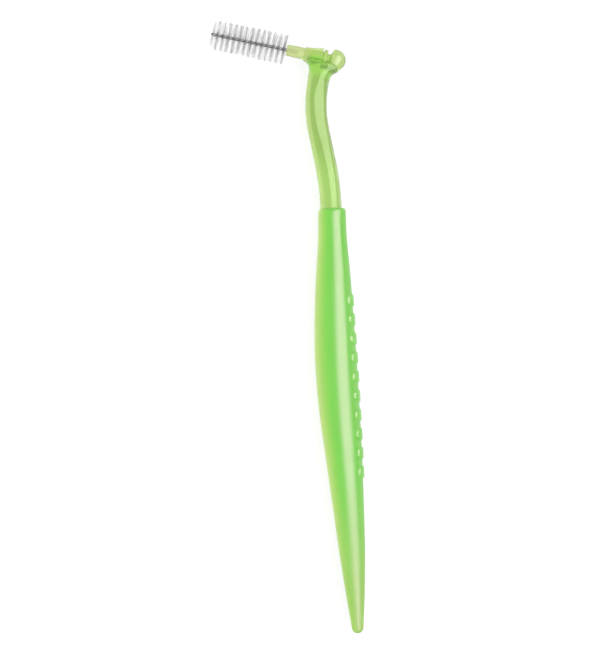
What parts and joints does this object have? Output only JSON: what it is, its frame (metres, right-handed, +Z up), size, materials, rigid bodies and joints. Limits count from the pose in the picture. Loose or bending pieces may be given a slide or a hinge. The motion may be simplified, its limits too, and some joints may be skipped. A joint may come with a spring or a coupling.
{
  "type": "interdental brush",
  "caption": "Interdental brush with a long bowed grip, an S-bent neck, a ring head with an open cradle, and a push-in refill with a knob, a twisted wire and tapered bristles.",
  "frame": {"origin": "middle of the underside of the part's box, on the surface that the brush lies on", "axes": "+Y from the grip's tip towards the head, +X away from the bristles, +Z up, square to the plane of the neck's bends"},
  "size_m": [0.034, 0.1345, 0.0086],
  "materials": {
    "grip_plastic": "translucent bright green, soft gloss",
    "neck_plastic": "translucent pale green, gloss",
    "refill_plastic": "translucent yellow green, gloss",
    "wire_steel": "bare drawn wire",
    "bristle_nylon": "clear fine filament"
  },
  "bodies": {
    "holder": {"grip": "grip_plastic", "neck": "neck_plastic"},
    "refill": {"refill_shank": "refill_plastic", "twisted_wire": "wire_steel", "bristles": "bristle_nylon"}
  },
  "joints": [
    {"name": "refill_slide", "type": "slide", "parent": "holder", "child": "refill", "axis": [0.9781, -0.2079, 0], "range_m": [0, 0.0294], "deforming": ["bristles"]}
  ]
}
